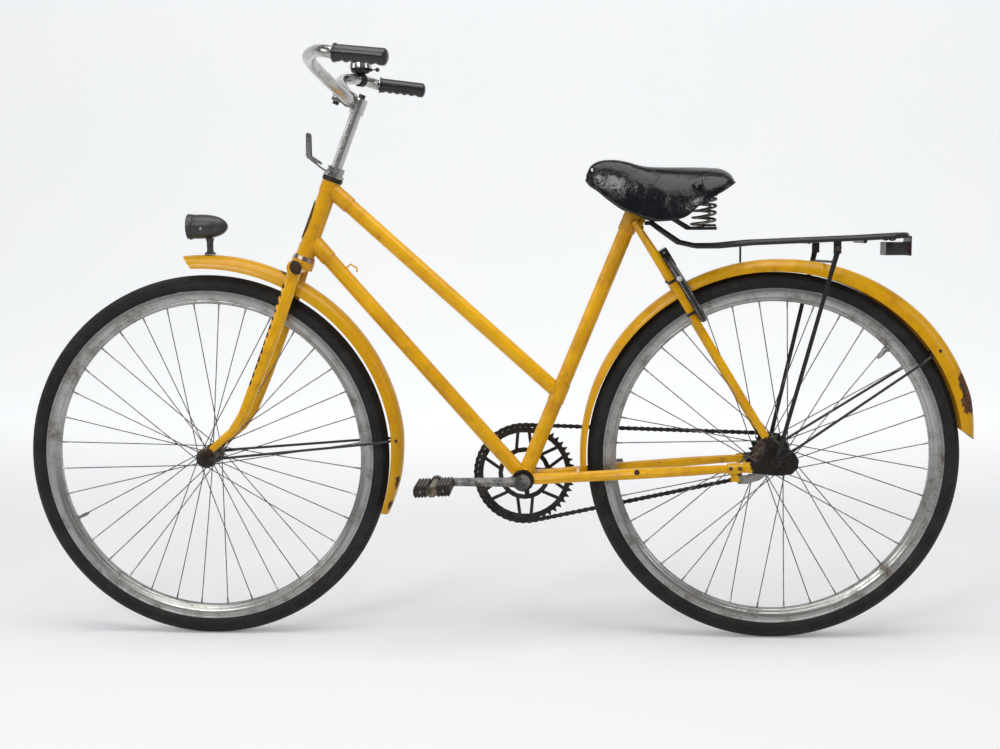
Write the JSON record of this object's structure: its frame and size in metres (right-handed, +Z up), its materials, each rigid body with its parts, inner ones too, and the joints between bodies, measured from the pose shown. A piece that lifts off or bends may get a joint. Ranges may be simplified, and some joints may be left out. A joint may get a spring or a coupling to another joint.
{
  "type": "roadster bicycle",
  "caption": "Ladies' roadster bicycle with open frame, full mudguards, rear rack, sprung saddle, ring lock, bell, headlamp and back-pedal brake.",
  "frame": {"origin": "on the floor under the rear axle, in the bicycle's middle plane", "axes": "+Z up; -X towards the front of the bicycle; +Y towards its right side, where the chain is; -Y towards its left side, which the picture shows"},
  "size_m": [1.8385, 0.6204, 1.1525],
  "materials": {
    "yellow": "worn gloss enamel",
    "black": "worn black enamel",
    "chrome": "dull, scratched plating",
    "rusty_steel": "rusty, dull",
    "rim_steel": "dull grey plating",
    "tyre": "dusty rubber",
    "rubber": "matt rubber",
    "vinyl": "glossy black vinyl",
    "lamp": "weathered dark grey",
    "glass": "clear, ribbed",
    "red": "red reflector"
  },
  "bodies": {
    "frame": {"head_tube": "yellow", "top_tube": "yellow", "down_tube": "yellow", "seat_tube": "yellow", "chainstay_left": "yellow", "chainstay_right": "yellow", "seatstay_left": "yellow", "seatstay_right": "yellow", "bracket_cup_left": "rusty_steel", "bracket_cup_right": "rusty_steel", "headset_lower_cup": "chrome", "headset_upper_cup": "chrome", "rear_mudguard": "yellow", "rear_mudguard_stay": "black", "rack_frame": "black", "rack_stays": "black", "reflector": "red", "lock_body": "black", "rear_axle": "rusty_steel", "brake_arm": "rusty_steel", "brake_clip": "yellow", "chain": "rusty_steel"},
    "steering": {"fork": "yellow", "headset_race": "chrome", "headset_locknut": "chrome", "lamp_bracket": "black", "front_mudguard": "yellow", "front_mudguard_stay": "black", "headlamp": "lamp", "headlamp_lens": "glass", "front_axle": "rusty_steel"},
    "stem": {"stem": "chrome", "stem_clamp_bolt": "chrome", "expander_bolt": "rusty_steel"},
    "handlebar": {"handlebar": "chrome", "grip_left": "rubber", "grip_right": "rubber", "bell_base": "black", "bell_dome": "chrome"},
    "bell_lever": {"bell_lever": "rusty_steel"},
    "front_wheel": {"front_tyre": "tyre", "front_rim": "rim_steel", "front_hub": "rim_steel"},
    "rear_wheel": {"rear_tyre": "tyre", "rear_rim": "rim_steel", "rear_hub": "rim_steel"},
    "sprocket": {"rear_sprocket": "rusty_steel"},
    "crank": {"bracket_spindle": "rusty_steel", "crank_left": "rusty_steel", "crank_right": "rusty_steel"},
    "pedal_left": {"pedal_left": "rubber"},
    "pedal_right": {"pedal_right": "rubber"},
    "seat_post": {"seat_post": "chrome", "saddle_frame": "rusty_steel", "saddle_spring_left": "rusty_steel", "saddle_spring_right": "rusty_steel"},
    "saddle": {"saddle_cover": "vinyl", "saddle_cantle": "rusty_steel"},
    "rack_clip": {"rack_clip": "black"},
    "lock_shackle": {"lock_shackle": "chrome"}
  },
  "joints": [
    {"name": "steering", "type": "hinge", "parent": "frame", "child": "steering", "pos_m": [-1.05892, 0, 0.34023], "axis": [0.3584, 0, 0.9336], "range_deg": [-75, 75]},
    {"name": "stem_height", "type": "slide", "parent": "steering", "child": "stem", "axis": [0.3584, 0, 0.9336], "range_m": [0, 0.03]},
    {"name": "handlebar_tilt", "type": "hinge", "parent": "stem", "child": "handlebar", "pos_m": [-0.80954, 0, 1.04572], "axis": [0, 1, 0], "range_deg": [-15, 15]},
    {"name": "bell_lever", "type": "hinge", "parent": "handlebar", "child": "bell_lever", "pos_m": [-0.80212, 0.23777, 1.12445], "axis": [0, 0, 1], "range_deg": [0, 25], "stiffness_Nm_per_rad": 0.02},
    {"name": "front_wheel", "type": "hinge", "parent": "steering", "child": "front_wheel", "pos_m": [-1.1, 0, 0.356], "axis": [0, 1, 0], "continuous": true},
    {"name": "rear_wheel", "type": "hinge", "parent": "frame", "child": "rear_wheel", "pos_m": [0, 0, 0.356], "axis": [0, 1, 0], "continuous": true},
    {"name": "crank", "type": "hinge", "parent": "frame", "child": "crank", "pos_m": [-0.48038, 0, 0.314], "axis": [0, 1, 0], "continuous": true, "deforming": ["chain"]},
    {"name": "sprocket", "type": "hinge", "parent": "frame", "child": "sprocket", "pos_m": [0, 0, 0.356], "axis": [0, 1, 0], "continuous": true},
    {"name": "pedal_left", "type": "hinge", "parent": "crank", "child": "pedal_left", "pos_m": [-0.64538, 0, 0.314], "axis": [0, 1, 0], "continuous": true},
    {"name": "pedal_right", "type": "hinge", "parent": "crank", "child": "pedal_right", "pos_m": [-0.31538, 0, 0.314], "axis": [0, 1, 0], "continuous": true},
    {"name": "seat_height", "type": "slide", "parent": "frame", "child": "seat_post", "axis": [0.3843, 0, 0.9232], "range_m": [0, 0.06]},
    {"name": "saddle_springing", "type": "hinge", "parent": "seat_post", "child": "saddle", "pos_m": [-0.323, 0, 0.91394], "axis": [0, 1, 0], "range_deg": [0, 4], "stiffness_Nm_per_rad": 400, "springref_deg": -0.57, "deforming": ["saddle_spring_left", "saddle_spring_right"]},
    {"name": "rack_clip", "type": "hinge", "parent": "frame", "child": "rack_clip", "pos_m": [0.215, 0, 0.7765], "axis": [0, 1, 0], "range_deg": [0, 100], "stiffness_Nm_per_rad": 0.5, "springref_deg": -17.19},
    {"name": "lock_shackle", "type": "hinge", "parent": "frame", "child": "lock_shackle", "pos_m": [-0.17056, 0, 0.68146], "axis": [0.8578, 0, 0.514], "range_deg": [0, 70], "stiffness_Nm_per_rad": 0.1, "springref_deg": -17.19}
  ],
  "couplings": [
    {"joint": "sprocket", "follows": "crank", "ratio": 2.5263}
  ]
}
